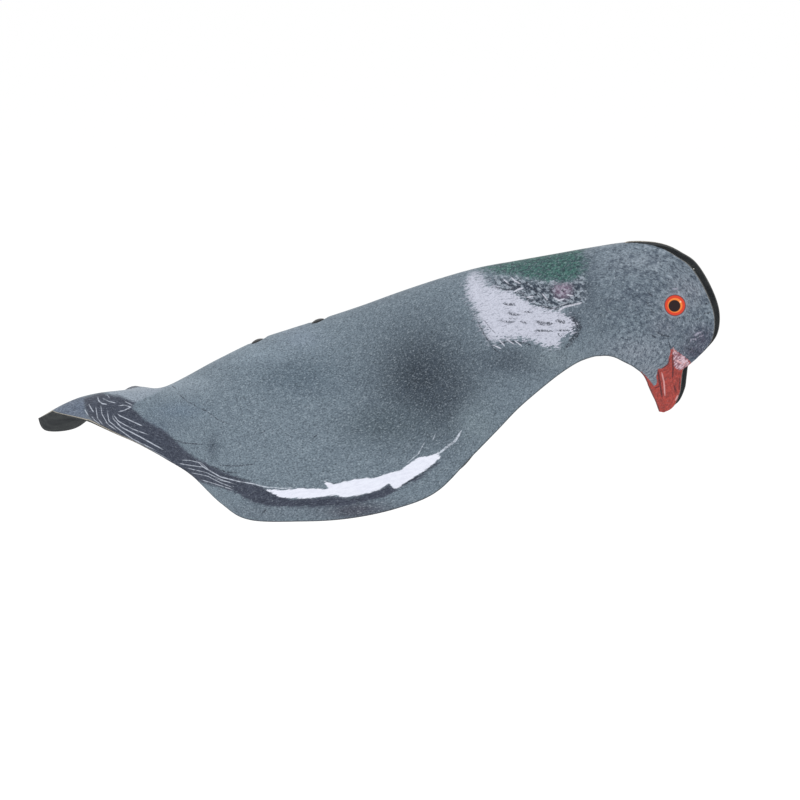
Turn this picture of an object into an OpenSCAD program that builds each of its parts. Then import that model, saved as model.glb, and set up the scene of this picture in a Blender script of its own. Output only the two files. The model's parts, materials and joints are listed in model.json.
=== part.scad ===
// Wood pigeon shell decoy on a nodding, swivelling stake holder. Millimetres, +X to the beak, +Z up.
// A printed foam sheet is folded along the back into an open shell. A rail under the ridge is riveted
// to it and hangs on a cross pin above the balance point. The origin is the mouth of the stake hole.

/* [Shell] */
// Thickness of the foam core
foam_t = 3; // [2.4:0.2:3.6]
// Thickness of the printed face fabric
fabric_t = 0.6; // [0.4:0.1:0.8]
// Half of the gap between the two head panels at the crown
crown_gap = 12.5; // [10:0.5:14]
// Distance below the ridge of the line on which a flank flexes
flex_depth = 20; // [16:1:26]
// Gap along the line on which a flank flexes
flex_gap = 1.6; // [1.2:0.2:2.4]
// Gap at the two cut ends of a flank
end_gap = 0.8; // [0.6:0.1:1.2]

/* [Ridge rail] */
// Distance between the two push rivets, along the ridge
rivet_pitch = 36.5; // [30:0.5:40]
// Diameter of a rivet head
rivet_head_d = 7; // [6:0.5:8]
// Diameter of a rivet shank
rivet_shank_d = 3.4; // [3:0.2:4]
// Width of the rail
rail_w = 12; // [10:1:13]
// Thickness of the rail at its middle
rail_t = 3; // [2.5:0.5:3.5]
// Distance from the balance point to the front rivet, along X
front_rivet_back = 43; // [40:0.5:46]

/* [Nodding pivot] */
// Distance of the pivot in front of the shell's datum, which puts it over the balance point
pivot_x = 6; // [4:0.1:8]
// Diameter of the pivot pin
pin_d = 4; // [3:0.5:4.5]
// Running clearance of a pin in its hole, on the radius
running_gap = 0.05; // [0.03:0.01:0.08]
// Half width of the lug's heel, which stops the nod
heel_half_w = 7; // [6:0.5:7]
// Length of the lug below the pin
heel_drop = 6; // [5.5:0.5:6]
// Nod at which the heel meets the yoke, in degrees
stop_angle = 16; // [14:1:18]

/* [Stake socket] */
// Diameter of the hole for the stake
stake_hole_d = 6.2; // [5.2:0.1:8.2]
// Depth of the hole for the stake
stake_hole_l = 48; // [40:1:52]
// Outside diameter of the tube
tube_d = 11; // [11:0.5:13]
// Length of the tube
tube_l = 60; // [58:1:64]
// Diameter of the grip collar
collar_d = 15; // [14:0.5:17]
// Diameter of the swivel spigot
spigot_d = 4; // [3.6:0.2:4.6]

/* [Crown ties] */
// Diameter of the nylon thread that ties the head panels
thread_d = 0.7; // [0.5:0.1:0.9]

/* [Hidden] */
$fn = 48;

foam_colour = [0.2, 0.21, 0.21];
face_colour = [0.43, 0.5, 0.55];
hardware_colour = [0.08, 0.08, 0.09];
thread_colour = [0.85, 0.84, 0.78];
steel_colour = [0.6, 0.61, 0.63];

// Heights of the stake holder, from the mouth of the stake hole upwards
washer_t = 0.8;
yoke_gap = 0.05;
washer_top = tube_l + washer_t;
yoke_bottom = washer_top + yoke_gap;
yoke_floor_t = 3.8;
clip_t = 0.8;
clip_lift = 0.1;
pocket_floor = yoke_bottom + yoke_floor_t;
pocket_d = 9;
pocket_h = 3.4;
yoke_top = pocket_floor + pocket_h;
heel_r = sqrt(heel_half_w * heel_half_w + heel_drop * heel_drop);
heel_angle = atan(heel_half_w / heel_drop);
pin_z = yoke_top + heel_r * cos(heel_angle - stop_angle);
spigot_top = pocket_floor + clip_lift + clip_t + 1;

// The lug hangs between the yoke's ears
lug_t = 5;
ear_clear = 0.3;
ear_t = 2.8;
ear_r = 5;
yoke_w = lug_t + 2 * ear_clear + 2 * ear_t;
yoke_l = 16;

// The shell's datum is pivot_x behind the pin and this far below it
pin_over_datum = 113.9;
shell_low = pin_over_datum - pin_z;
ridge_slope = 19.3;
ridge_z_at_pivot = 128.6;
skin_t = foam_t + fabric_t;
apex_gap = 0.9;
inner_apex = ridge_z_at_pivot - shell_low - skin_t / cos(ridge_slope);
rail_top = inner_apex - apex_gap / cos(ridge_slope);
rail_crown_r = 9.5;
rail_front = 9;
rail_tail = 5;
rail_back = (front_rivet_back + rail_tail) / cos(ridge_slope) + rivet_pitch;

// Body outline in the shell's own frame, from the rump to the beak tip:
// ridge x, ridge z, half gap at the ridge, edge x, edge half width, edge z,
// then the section's shares: how far out it leaves the ridge, how far up it meets the edge,
// how far it swells, and how far it falls as it leaves the ridge
web = 0.3;
BODY = [
    [-127, 73.2, web, -104, 33, 28, 0.42, 0.55, 1.06, 0],
    [-114.5, 79.2, web, -86, 39, 13.5, 0.42, 0.57, 1.09, 0],
    [-97, 89, web, -69, 44, 5.5, 0.41, 0.6, 1.12, 0],
    [-73, 101, web, -38, 48, 6, 0.4, 0.6, 1.14, 0],
    [-55, 107.5, web, -11.5, 49, 8.5, 0.4, 0.6, 1.14, 0],
    [-37, 113.5, web, 14.5, 48, 14.5, 0.4, 0.6, 1.14, 0],
    [-14, 121.5, web, 36, 45, 24, 0.4, 0.6, 1.14, 0],
    [8.5, 130, web, 53.5, 41, 43.5, 0.4, 0.6, 1.14, 0],
    [33, 138.5, web, 67.5, 36, 58.5, 0.4, 0.6, 1.12, 0],
    [53.5, 144.5, web, 78.5, 31.5, 69.5, 0.41, 0.6, 1.1, 0],
    [73.5, 148.5, web, 90, 27, 79, 0.43, 0.6, 1.08, 0],
    [94, 152.5, 0.06 * crown_gap, 101.5, 22.5, 88, 0.46, 0.6, 1.05, 0],
    [114.5, 156.5, 0.2 * crown_gap, 111.5, 19, 94.5, 0.6, 0.6, 1.03, 0],
    [135, 160, 0.36 * crown_gap, 119.5, 16.5, 97.5, 0.75, 0.6, 1.01, 0.02],
    [147.5, 160, 0.6 * crown_gap, 124, 15, 98, 0.68, 0.6, 1, 0.14],
    [157, 158, 0.8 * crown_gap, 128, 14.2, 98, 0.6, 0.6, 1, 0.26],
    [165, 154, 0.93 * crown_gap, 132, 13.5, 97, 0.6, 0.6, 1, 0.33],
    [173.5, 148, crown_gap, 136, 13, 95, 0.6, 0.6, 1, 0.33],
    [181.5, 135.5, crown_gap, 141, 12.5, 92.5, 0.6, 0.6, 1, 0.33],
    [186.5, 121.5, crown_gap, 144, 12.5, 90.5, 0.6, 0.6, 1, 0.33],
    [185.5, 108.5, crown_gap, 146, 12.5, 89, 0.6, 0.6, 1, 0.33],
    [178.5, 99, crown_gap, 148, 12.5, 86.5, 0.6, 0.6, 1, 0.33],
    [172.5, 93.5, crown_gap, 149.5, 12.5, 83.5, 0.6, 0.6, 1, 0.33],
    [169.5, 91, crown_gap, 150, 12.5, 82, 0.6, 0.6, 1, 0.33],
    [168.5, 84.5, crown_gap, 152, 12.5, 77.5, 0.6, 0.6, 1, 0.33],
    [167.5, 77.5, crown_gap, 154, 12.5, 73.5, 0.6, 0.6, 1, 0.33],
    [164, 70, crown_gap, 155.5, 12.5, 69.5, 0.6, 0.6, 1, 0.33],
    [159, 67, crown_gap, 156.3, 12.5, 67.4, 0.6, 0.6, 1, 0.33]
];

// Tail fan, from its tip to the rump. It is curled, so its two halves differ:
// midline, right edge, left edge, then the section shares of its right half and of its left half
TAIL = [
    [[-188, -12, 60.5], [-164, -33, 58.5], [-201.5, 12, 52.5], [0.45, 0.38, 0.62, 0], [0.42, 0.36, 0.64, 0]],
    [[-182.5, -10, 63.5], [-162, -32.5, 58], [-198, 14, 45.5], [0.45, 0.38, 0.64, 0], [0.44, 0.38, 0.66, 0]],
    [[-174, -6, 67], [-157, -32, 55.5], [-183, 20, 46.5], [0.45, 0.4, 0.68, 0], [0.44, 0.38, 0.68, 0]],
    [[-163, -4, 69.5], [-148, -31, 51], [-171, 25, 56.5], [0.45, 0.42, 0.74, 0], [0.42, 0.36, 0.68, 0]],
    [[-151, -2, 70.6], [-135, -30, 45], [-160, 29, 64.5], [0.44, 0.46, 0.84, 0], [0.46, 0.36, 0.68, 0]],
    [[-138, -0.5, 71.8], [-118.5, -30, 36], [-143, 31, 67], [0.43, 0.5, 0.95, 0], [0.55, 0.4, 0.72, 0]]
];

// The right edge hangs a little ahead of the left one at the breast
lead_most = 2.6;
lead_x = 62;
lead_reach = 24;
function lead(x) = lead_most * exp(-pow((x - lead_x) / lead_reach, 2));

// A station is right top, left top, right edge, left edge and the section shares, in one list
function tail_station(t) = concat(t[0] - [0, web, 0], t[0] + [0, web, 0], t[1], t[2], t[3], t[4]);
function body_station(b) = [b[0], -b[2], b[1], b[0], b[2], b[1], b[3] + lead(b[3]), -b[4], b[5],
    b[3] - lead(b[3]), b[4], b[5], b[6], b[7], b[8], b[9], b[6], b[7], b[8], b[9]];
STATIONS = concat([for (t = TAIL) tail_station(t)], [for (b = BODY) body_station(b)]);
nape_station = len(TAIL) + 13;

// Smooth curve through a list of stations, with a number of steps in each span
function through(p, q, r, s, t) = 0.5 * (2 * q + (r - p) * t + (2 * p - 5 * q + 4 * r - s) * t * t
    + (3 * q - p - 3 * r + s) * t * t * t);
function smooth_rows(P, steps) = concat(
    [for (i = [0 : len(P) - 2], k = [0 : steps - 1])
        through(P[max(i - 1, 0)], P[i], P[i + 1], P[min(i + 2, len(P) - 1)], k / steps)],
    [P[len(P) - 1]]);

span_steps = 2;
across = 10;
ROWS = smooth_rows(STATIONS, span_steps);
slit_row = nape_station * span_steps;
last_row = len(ROWS) - 1;
last_col = 2 * across + 1;

// Cubic section from a top point to an edge point: it leaves the ridge level and swells before the edge
function section_point(top, edge, share, v) =
    let (p1 = [top.x + share[3] * (edge.x - top.x), top.y + share[0] * (edge.y - top.y),
               top.z + share[3] * (edge.z - top.z)],
         p2 = [edge.x + (top.x - edge.x) * share[1], top.y + share[2] * (edge.y - top.y),
               edge.z + (top.z - edge.z) * share[1]],
         w = 1 - v)
    top * w * w * w + 3 * p1 * v * w * w + 3 * p2 * v * v * w + edge * v * v * v;
function part_of(row, from, count) = [for (k = [from : from + count - 1]) row[k]];
function right_point(row, v) = section_point(part_of(row, 0, 3), part_of(row, 6, 3), part_of(row, 12, 4), v);
function left_point(row, v) = section_point(part_of(row, 3, 3), part_of(row, 9, 3), part_of(row, 16, 4), v);

// Columns run from the left edge over the ridge to the right edge
function skin_point(row, col) = col <= across
    ? left_point(row, (across - col) / across)
    : right_point(row, (col - across - 1) / across);
SKIN = [for (row = ROWS) [for (col = [0 : last_col]) skin_point(row, col)]];

// The two columns at the ridge share one slope across. Beyond the nape each head panel has its own edge
function at_ridge(j) = j == across || j == across + 1;
function col_before(i, j) = at_ridge(j) && i <= slit_row ? across - 1
    : j == across + 1 ? j : max(j - 1, 0);
function col_after(i, j) = at_ridge(j) && i <= slit_row ? across + 2
    : j == across ? j : min(j + 1, last_col);
function inward(i, j) =
    let (along = SKIN[min(i + 1, last_row)][j] - SKIN[max(i - 1, 0)][j],
         over = SKIN[i][col_after(i, j)] - SKIN[i][col_before(i, j)],
         n = cross(along, over))
    n / norm(n);
INWARD = [for (i = [0 : last_row]) [for (j = [0 : last_col]) inward(i, j)]];

function quad(a, b, c, d) = [[a, c, b], [a, d, c]];
function flat_list(L) = [for (x = L) each x];

// Closed sheet between two depths below the outer skin, slit from the nape to the beak
module sheet_layer(top_depth, low_depth) {
    cols = last_col + 1;
    low = (last_row + 1) * cols;
    points = concat(
        [for (i = [0 : last_row], j = [0 : last_col]) SKIN[i][j] + top_depth * INWARD[i][j]],
        [for (i = [0 : last_row], j = [0 : last_col]) SKIN[i][j] + low_depth * INWARD[i][j]]);
    spans = [for (i = [0 : last_row - 1], j = [0 : last_col - 1]) if (j != across || i < slit_row) [i, j]];
    faces = flat_list(concat(
        [for (s = spans) let (a = s[0] * cols + s[1]) quad(a, a + 1, a + cols + 1, a + cols)],
        [for (s = spans) let (a = s[0] * cols + s[1] + low) quad(a, a + cols, a + cols + 1, a + 1)],
        [for (i = [0 : last_row - 1]) let (a = i * cols) quad(a, a + cols, a + cols + low, a + low)],
        [for (i = [0 : last_row - 1]) let (a = i * cols + last_col)
            quad(a, a + low, a + cols + low, a + cols)],
        [for (i = [slit_row : last_row - 1]) let (a = i * cols + across)
            quad(a, a + low, a + cols + low, a + cols)],
        [for (i = [slit_row : last_row - 1]) let (a = i * cols + across + 1)
            quad(a, a + cols, a + cols + low, a + low)],
        [for (j = [0 : last_col - 1]) quad(j, j + low, j + low + 1, j + 1)],
        [let (a = slit_row * cols + across) each [quad(a, a + 1, a + 1 + low, a + low)]],
        [for (j = [0 : last_col - 1]) if (j != across)
            let (a = last_row * cols + j) quad(a, a + 1, a + 1 + low, a + low)]));
    polyhedron(points, faces);
}

// Places what is drawn in the shell's frame
module in_shell() {
    translate([-pivot_x, 0, -shell_low]) children();
}

// Places what is drawn along the ridge: +X up the ridge, +Z away from it, at the rail's top over the pivot
module on_ridge() {
    translate([0, 0, rail_top]) rotate([0, -ridge_slope, 0]) children();
}

// Where the rivets stand along the ridge, measured from over the pivot
front_rivet_s = -front_rivet_back / cos(ridge_slope);
RIVET_S = [front_rivet_s, front_rivet_s - rivet_pitch];

// Flank outline in side view, with a margin taken off its top line and its two ends
flank_front_x = 34;
flank_back_x = -106;
flank_reach = 190;
function ridge_line_z(x) = ridge_z_at_pivot + (x - pivot_x) * tan(ridge_slope);
module flank_window(top_margin, end_margin) {
    depth = flex_depth + top_margin;
    front = [flank_front_x, ridge_line_z(flank_front_x)];
    length = (flank_front_x - flank_back_x) / cos(ridge_slope);
    translate([front.x, 0, front.y]) rotate([90, ridge_slope * -1, 0]) translate([-length, 0, -flank_reach])
        linear_extrude(2 * flank_reach)
            translate([end_margin, -depth - flank_reach]) square([length - 2 * end_margin, flank_reach]);
}

// One side of the body, right at -Y or left at +Y
module half_space(side) {
    translate([-300, side < 0 ? -200 : 0, -100]) cube([600, 200, 400]);
}

// Seats for the rivet heads and holes for their shanks, through fabric and foam
seat_depth = 1.2;
module rivet_seats() {
    for (s = RIVET_S) on_ridge() translate([s, 0, 0]) {
        translate([0, 0, -2]) cylinder(d = rivet_shank_d + 0.2, h = 12);
        translate([0, 0, apex_gap + skin_t - seat_depth]) cylinder(d = rivet_head_d + 0.5, h = 8);
    }
}

// Holes in the foam of the head panels, in which the threads are glued
CROWN_TIE = [172.5, 145];
BROW_TIE = [184, 115];
thread_l = 2 * (crown_gap - fabric_t - 0.3);
module head_tie(place) {
    in_shell() translate([place.x, 0, place.y]) rotate([90, 0, 0])
        cylinder(d = thread_d, h = thread_l, center = true, $fn = 24);
}

module shell_sheet(top_depth, low_depth) {
    difference() {
        in_shell() difference() {
            sheet_layer(top_depth, low_depth);
            flank_window(0, 0);
        }
        rivet_seats();
    }
}

module flank_sheet(side, top_depth, low_depth) {
    in_shell() intersection() {
        sheet_layer(top_depth, low_depth);
        flank_window(flex_gap, end_gap);
        half_space(side);
    }
}

module foam_shell() {
    color(foam_colour) difference() {
        shell_sheet(fabric_t, skin_t);
        head_tie(CROWN_TIE);
        head_tie(BROW_TIE);
    }
}

module printed_face() {
    color(face_colour) shell_sheet(0, fabric_t);
}

module right_flank_foam() {
    color(foam_colour) flank_sheet(-1, fabric_t, skin_t);
}

module right_flank_face() {
    color(face_colour) flank_sheet(-1, 0, fabric_t);
}

module left_flank_foam() {
    color(foam_colour) flank_sheet(1, fabric_t, skin_t);
}

module left_flank_face() {
    color(face_colour) flank_sheet(1, 0, fabric_t);
}

// Crowned strip that follows the inside of the ridge, with the lug that hangs on the pin
module ridge_rail() {
    color(hardware_colour) difference() {
        union() {
            on_ridge() translate([-rail_back, 0, 0]) rotate([90, 0, 90])
                linear_extrude(rail_back + rail_front) intersection() {
                    translate([0, -rail_crown_r]) circle(r = rail_crown_r, $fn = 96);
                    translate([-rail_w / 2, -rail_t]) square([rail_w, rail_t]);
                }
            difference() {
                translate([-heel_half_w, -lug_t / 2, pin_z - heel_drop])
                    cube([2 * heel_half_w, lug_t, rail_top - pin_z + heel_drop]);
                on_ridge() translate([-40, -20, -rail_t / 2]) cube([80, 40, 40]);
            }
        }
        translate([0, 0, pin_z]) rotate([90, 0, 0])
            cylinder(d = pin_d + 2 * running_gap, h = 4 * lug_t, center = true);
        for (s = RIVET_S) on_ridge() translate([s, 0, -2 * rail_t])
            cylinder(d = rivet_shank_d + 0.2, h = 4 * rail_t);
    }
}

// Flat domed heads that lie in their seats, and the shanks through foam and rail
head_t = 1.8;
cap_t = 1.6;
module push_rivets() {
    head_base = apex_gap + skin_t - seat_depth;
    dome_r = 7;
    color(hardware_colour) for (s = RIVET_S) on_ridge() translate([s, 0, 0]) {
        translate([0, 0, -rail_t - cap_t - 1]) cylinder(d = rivet_shank_d, h = rail_t + cap_t + 1 + head_base);
        intersection() {
            translate([0, 0, head_base]) cylinder(d = rivet_head_d, h = head_t);
            translate([0, 0, head_base + head_t - dome_r]) sphere(r = dome_r);
        }
    }
}

module rivet_caps() {
    color(hardware_colour) for (s = RIVET_S) on_ridge() translate([s, 0, -rail_t - cap_t])
        difference() {
            cylinder(d = 8, h = cap_t);
            translate([0, 0, -1]) cylinder(d = rivet_shank_d, h = cap_t + 2);
        }
}

// The pin is pressed in the yoke's ears and a clip holds each end
clip_ring_t = 0.8;
pin_l = yoke_w + 2 * clip_ring_t + 1.6;
module pivot_pin() {
    color(steel_colour) translate([0, 0, pin_z]) rotate([90, 0, 0])
        cylinder(d = pin_d, h = pin_l, center = true);
}

module pin_clips() {
    color(steel_colour) for (side = [-1, 1]) translate([0, side * (yoke_w + clip_ring_t) / 2, pin_z])
        rotate([90, 0, 0]) difference() {
            cylinder(d = pin_d + 3.4, h = clip_ring_t, center = true);
            cylinder(d = pin_d, h = 2 * clip_ring_t, center = true);
        }
}

// Turning block: it spins on the spigot and its two ears carry the pin
module nod_yoke() {
    color(hardware_colour) difference() {
        union() {
            translate([-yoke_l / 2, -yoke_w / 2, yoke_bottom]) cube([yoke_l, yoke_w, yoke_top - yoke_bottom]);
            for (side = [-1, 1]) translate([0, side * (yoke_w - ear_t) / 2, 0]) {
                translate([-ear_r, -ear_t / 2, yoke_top - 1]) cube([2 * ear_r, ear_t, pin_z - yoke_top + 1]);
                translate([0, 0, pin_z]) rotate([90, 0, 0]) cylinder(r = ear_r, h = ear_t, center = true);
            }
        }
        translate([0, 0, pin_z]) rotate([90, 0, 0]) cylinder(d = pin_d, h = 2 * yoke_w, center = true);
        translate([0, 0, pocket_floor]) cylinder(d = pocket_d, h = pocket_h + 1);
        translate([0, 0, yoke_bottom - 1]) cylinder(d = spigot_d + 2 * running_gap, h = yoke_floor_t + 2);
    }
}

// Tube for the stake, with a grip collar and the spigot that the yoke turns on
collar_h = 6;
mouth_chamfer = 1;
module stake_socket() {
    color(hardware_colour) difference() {
        union() {
            cylinder(d = tube_d, h = tube_l);
            cylinder(d = collar_d, h = collar_h);
            translate([0, 0, tube_l - 1]) cylinder(d = spigot_d, h = spigot_top - tube_l + 1);
        }
        translate([0, 0, -1]) cylinder(d = stake_hole_d, h = stake_hole_l + 1);
        for (a = [0 : 30 : 330]) rotate(a) translate([collar_d / 2 + 0.6, 0, -1])
            cylinder(d = 2, h = collar_h + 2, $fn = 24);
    }
}

module swivel_washer() {
    color(steel_colour) translate([0, 0, tube_l]) difference() {
        cylinder(d = tube_d, h = washer_t);
        translate([0, 0, -1]) cylinder(d = spigot_d, h = washer_t + 2);
    }
}

module spigot_clip() {
    color(steel_colour) translate([0, 0, pocket_floor + clip_lift]) difference() {
        cylinder(d = pocket_d - 1.2, h = clip_t);
        translate([0, 0, -1]) cylinder(d = spigot_d, h = clip_t + 2);
    }
}

module crown_tie() {
    color(thread_colour) head_tie(CROWN_TIE);
}

module brow_tie() {
    color(thread_colour) head_tie(BROW_TIE);
}

foam_shell();
printed_face();
right_flank_foam();
right_flank_face();
left_flank_foam();
left_flank_face();
ridge_rail();
push_rivets();
rivet_caps();
pivot_pin();
pin_clips();
nod_yoke();
stake_socket();
swivel_washer();
spigot_clip();
crown_tie();
brow_tie();
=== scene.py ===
"""Looks of a printed foam pigeon shell decoy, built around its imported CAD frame.

Everything is in metres in the row frame: +X to the beak, +Z up, the bird's right side at -Y.
The shell's outline is in millimetres in its own frame, which the pivot pin places in the row frame.
"""

import json
import math

import bpy
import numpy as np
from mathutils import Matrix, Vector


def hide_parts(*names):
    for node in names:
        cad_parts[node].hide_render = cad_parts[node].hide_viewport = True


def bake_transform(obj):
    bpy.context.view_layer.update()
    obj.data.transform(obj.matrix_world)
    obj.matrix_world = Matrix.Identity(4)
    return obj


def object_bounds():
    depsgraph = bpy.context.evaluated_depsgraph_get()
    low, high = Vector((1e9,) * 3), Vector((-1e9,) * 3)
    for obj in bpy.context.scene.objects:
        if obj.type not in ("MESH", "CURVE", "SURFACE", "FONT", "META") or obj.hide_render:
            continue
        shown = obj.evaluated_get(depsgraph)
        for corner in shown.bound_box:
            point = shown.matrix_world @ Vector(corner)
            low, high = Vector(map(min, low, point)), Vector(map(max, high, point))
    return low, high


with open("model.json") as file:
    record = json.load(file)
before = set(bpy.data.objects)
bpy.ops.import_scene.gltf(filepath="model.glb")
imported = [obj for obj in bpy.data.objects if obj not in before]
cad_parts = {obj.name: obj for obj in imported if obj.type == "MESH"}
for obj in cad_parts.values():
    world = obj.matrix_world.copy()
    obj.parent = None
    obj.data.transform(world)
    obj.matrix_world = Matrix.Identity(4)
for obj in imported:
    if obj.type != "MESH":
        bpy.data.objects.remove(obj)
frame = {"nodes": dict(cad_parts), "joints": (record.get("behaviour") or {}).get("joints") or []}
cad_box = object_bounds()

MM = 0.001
RIGHT, LEFT = -1, 1

# ---------------------------------------------------------------- where the shell is

# The pivot pin in the outline's own frame, in mm
PIN_IN_OUTLINE = np.array([6.0, 0.0, 113.9])


def joint(name):
    return next(j for j in frame["joints"] if j["name"] == name)


PIN = np.array(joint("nod")["pos_m"], float)


def to_row(points):
    """Outline points in mm to the row frame in metres."""
    return (np.asarray(points, float) - PIN_IN_OUTLINE) * MM + PIN


# ---------------------------------------------------------------- camera

VIEW_AZIMUTH = math.radians(10)
VIEW_ELEVATION = math.radians(7.5)
VIEW_DISTANCE = 3500.0  # mm
VIEW_TARGET = np.array([8.4, 0.0, 68.9])  # mm, in the outline's frame
FRAME_WIDTH = 448.0  # mm seen across the picture at the target
SENSOR = 36.0
CLIP_NEAR, CLIP_FAR = 0.1, 100.0  # metres
VIEW_RIGHT = np.array([math.cos(VIEW_AZIMUTH), math.sin(VIEW_AZIMUTH), 0.0])
VIEW_BACK = np.array(
    [
        math.sin(VIEW_AZIMUTH) * math.cos(VIEW_ELEVATION),
        -math.cos(VIEW_AZIMUTH) * math.cos(VIEW_ELEVATION),
        math.sin(VIEW_ELEVATION),
    ]
)
VIEW_UP = np.cross(VIEW_BACK, VIEW_RIGHT)


def make_camera():
    data = bpy.data.cameras.new("camera")
    data.sensor_width = SENSOR
    data.lens = SENSOR * VIEW_DISTANCE / FRAME_WIDTH
    data.clip_start, data.clip_end = CLIP_NEAR, CLIP_FAR
    camera = bpy.data.objects.new("camera", data)
    bpy.context.scene.collection.objects.link(camera)
    camera.location = to_row(VIEW_TARGET + VIEW_BACK * VIEW_DISTANCE)
    camera.rotation_mode = "QUATERNION"
    camera.rotation_quaternion = Vector(-VIEW_BACK).to_track_quat("-Z", "Y")
    bpy.context.scene.camera = camera


def on_print(points):
    """Where outline points fall on the printed side view, in mm right of and above its middle."""
    away = points - (VIEW_TARGET + VIEW_BACK * VIEW_DISTANCE)
    scale = VIEW_DISTANCE / -(away @ VIEW_BACK)
    return np.stack([(away @ VIEW_RIGHT) * scale, (away @ VIEW_UP) * scale], -1)


# ---------------------------------------------------------------- the shell's outline

# All in mm, the same as in the CAD source
FOAM_T = 3.0
FABRIC_T = 0.6
CROWN_GAP = 12.5  # half of the gap between the two head panels
WEB = 0.3  # half gap of the stations at which the two halves meet

# The stations are copied from the CAD source, where most of them are rounded, computed values.
# Rump to beak tip: ridge x, ridge z, half gap at the ridge, edge x, edge half width, edge z,
# then the section's shares: out from the ridge, up from the edge, swell, fall
BODY = [
    [-127, 73.2, WEB, -104, 33, 28, 0.42, 0.55, 1.06, 0],
    [-114.5, 79.2, WEB, -86, 39, 13.5, 0.42, 0.57, 1.09, 0],
    [-97, 89, WEB, -69, 44, 5.5, 0.41, 0.6, 1.12, 0],
    [-73, 101, WEB, -38, 48, 6, 0.4, 0.6, 1.14, 0],
    [-55, 107.5, WEB, -11.5, 49, 8.5, 0.4, 0.6, 1.14, 0],
    [-37, 113.5, WEB, 14.5, 48, 14.5, 0.4, 0.6, 1.14, 0],
    [-14, 121.5, WEB, 36, 45, 24, 0.4, 0.6, 1.14, 0],
    [8.5, 130, WEB, 53.5, 41, 43.5, 0.4, 0.6, 1.14, 0],
    [33, 138.5, WEB, 67.5, 36, 58.5, 0.4, 0.6, 1.12, 0],
    [53.5, 144.5, WEB, 78.5, 31.5, 69.5, 0.41, 0.6, 1.1, 0],
    [73.5, 148.5, WEB, 90, 27, 79, 0.43, 0.6, 1.08, 0],
    [94, 152.5, 0.06 * CROWN_GAP, 101.5, 22.5, 88, 0.46, 0.6, 1.05, 0],
    [114.5, 156.5, 0.2 * CROWN_GAP, 111.5, 19, 94.5, 0.6, 0.6, 1.03, 0],
    [135, 160, 0.36 * CROWN_GAP, 119.5, 16.5, 97.5, 0.75, 0.6, 1.01, 0.02],
    [147.5, 160, 0.6 * CROWN_GAP, 124, 15, 98, 0.68, 0.6, 1, 0.14],
    [157, 158, 0.8 * CROWN_GAP, 128, 14.2, 98, 0.6, 0.6, 1, 0.26],
    [165, 154, 0.93 * CROWN_GAP, 132, 13.5, 97, 0.6, 0.6, 1, 0.33],
    [173.5, 148, CROWN_GAP, 136, 13, 95, 0.6, 0.6, 1, 0.33],
    [181.5, 135.5, CROWN_GAP, 141, 12.5, 92.5, 0.6, 0.6, 1, 0.33],
    [186.5, 121.5, CROWN_GAP, 144, 12.5, 90.5, 0.6, 0.6, 1, 0.33],
    [185.5, 108.5, CROWN_GAP, 146, 12.5, 89, 0.6, 0.6, 1, 0.33],
    [178.5, 99, CROWN_GAP, 148, 12.5, 86.5, 0.6, 0.6, 1, 0.33],
    [172.5, 93.5, CROWN_GAP, 149.5, 12.5, 83.5, 0.6, 0.6, 1, 0.33],
    [169.5, 91, CROWN_GAP, 150, 12.5, 82, 0.6, 0.6, 1, 0.33],
    [168.5, 84.5, CROWN_GAP, 152, 12.5, 77.5, 0.6, 0.6, 1, 0.33],
    [167.5, 77.5, CROWN_GAP, 154, 12.5, 73.5, 0.6, 0.6, 1, 0.33],
    [164, 70, CROWN_GAP, 155.5, 12.5, 69.5, 0.6, 0.6, 1, 0.33],
    [159, 67, CROWN_GAP, 156.3, 12.5, 67.4, 0.6, 0.6, 1, 0.33],
]

# Tail tip to rump: midline, right edge, left edge, shares of the right half and of the left half
TAIL = [
    [[-188, -12, 60.5], [-164, -33, 58.5], [-201.5, 12, 52.5], [0.45, 0.38, 0.62, 0], [0.42, 0.36, 0.64, 0]],
    [[-182.5, -10, 63.5], [-162, -32.5, 58], [-198, 14, 45.5], [0.45, 0.38, 0.64, 0], [0.44, 0.38, 0.66, 0]],
    [[-174, -6, 67], [-157, -32, 55.5], [-183, 20, 46.5], [0.45, 0.4, 0.68, 0], [0.44, 0.38, 0.68, 0]],
    [[-163, -4, 69.5], [-148, -31, 51], [-171, 25, 56.5], [0.45, 0.42, 0.74, 0], [0.42, 0.36, 0.68, 0]],
    [[-151, -2, 70.6], [-135, -30, 45], [-160, 29, 64.5], [0.44, 0.46, 0.84, 0], [0.46, 0.36, 0.68, 0]],
    [[-138, -0.5, 71.8], [-118.5, -30, 36], [-143, 31, 67], [0.43, 0.5, 0.95, 0], [0.55, 0.4, 0.72, 0]],
]

# The right edge hangs a little ahead of the left one at the breast
LEAD_MOST, LEAD_X, LEAD_REACH = 2.6, 62.0, 24.0

NAPE = len(TAIL) + 13  # the station where the slit between the head panels begins
ROW_PITCH = 1.5  # mm
FINE_PITCH = 0.8  # mm
ACROSS = 80  # faces from the ridge to the edge
SEAM_POWER = 10  # how closely to the midline the two halves are pulled together
FINE_X = 90  # the head lies beyond this ridge x
TAIL_X = -125  # the tail lies behind this ridge x


def half_stations(side):
    """Top point, edge point and section shares of each station of one half, and its half gap."""
    rows = []
    for mid, right, left, right_share, left_share in TAIL:
        edge, share = (right, right_share) if side == RIGHT else (left, left_share)
        rows.append([*mid, *edge, *share, 0.0])
    for x, z, gap, edge_x, edge_w, edge_z, *share in BODY:
        gap = 0.0 if gap == WEB else gap
        lead = -side * LEAD_MOST * math.exp(-(((edge_x - LEAD_X) / LEAD_REACH) ** 2))
        rows.append([x, side * gap, z, edge_x + lead, side * edge_w, edge_z, *share, gap])
    return np.array(rows, float)


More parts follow.
